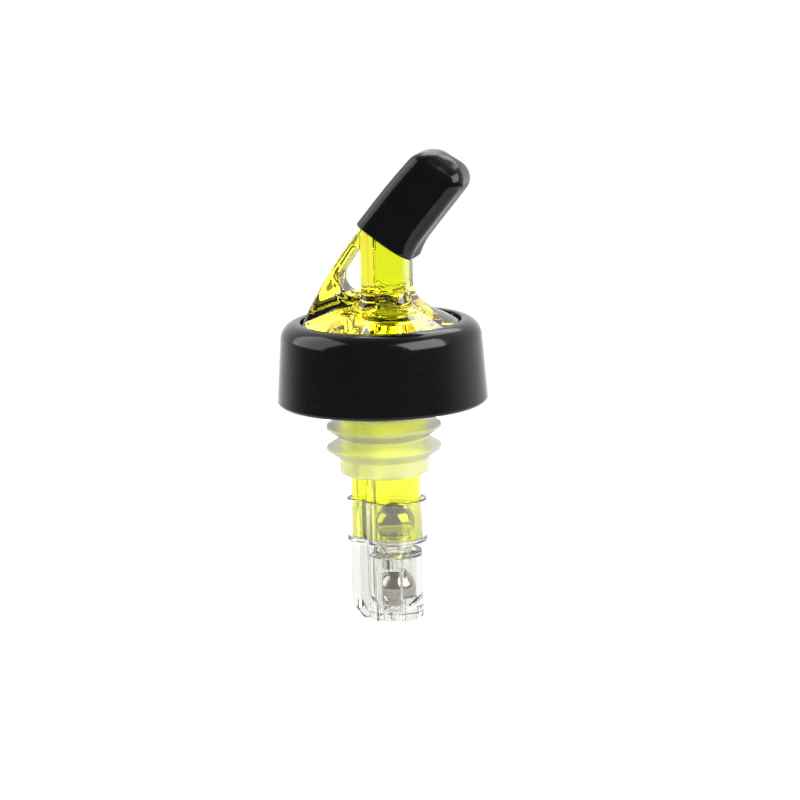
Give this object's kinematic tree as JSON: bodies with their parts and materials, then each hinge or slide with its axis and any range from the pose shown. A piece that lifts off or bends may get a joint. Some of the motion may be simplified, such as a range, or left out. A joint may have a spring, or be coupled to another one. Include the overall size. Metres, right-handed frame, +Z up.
{
  "type": "measured liquor pourer",
  "caption": "Bottle pourer with a finned stopper, a leaning spout under a slip-on cap, and loose steel balls in a chamber that cut the flow off after one portion.",
  "frame": {"origin": "centre of the ring where the bottle's lip meets the underside of the cork's flange", "axes": "+Z up along the cork, away from the bottle; +X the way the spout leans; +Y from the front to the back"},
  "size_m": [0.0422, 0.042, 0.0946],
  "materials": {
    "cap_vinyl": "soft black dip-moulded vinyl, satin gloss",
    "yellow_head": "clear yellow moulded plastic, polished",
    "collar_black": "black moulded plastic, high gloss",
    "cork_polyethylene": "natural polyethylene, milky and soft",
    "yellow_tube": "clear yellow moulded plastic, polished",
    "clear_cage": "clear colourless moulded plastic, polished",
    "clear_seat": "clear colourless moulded plastic, polished",
    "ball_steel": "polished stainless steel ball"
  },
  "bodies": {
    "pourer": {"pour_head": "yellow_head", "collar": "collar_black", "cork": "cork_polyethylene", "chamber_tube": "yellow_tube", "control_cage": "clear_cage", "metering_seat": "clear_seat"},
    "cap": {"spout_cap": "cap_vinyl"},
    "cutoff": {"cutoff_ball": "ball_steel"},
    "control": {"control_ball": "ball_steel"}
  },
  "joints": [
    {"name": "cap_pull", "type": "slide", "parent": "pourer", "child": "cap", "axis": [0.6428, 0, 0.766], "range_m": [0, 0.024]},
    {"name": "cutoff_ball_travel", "type": "slide", "parent": "pourer", "child": "cutoff", "axis": [0, 0, 1], "range_m": [0, 0.0384]},
    {"name": "control_ball_travel", "type": "slide", "parent": "pourer", "child": "control", "axis": [0, 0, 1], "range_m": [0, 0.0035]}
  ]
}
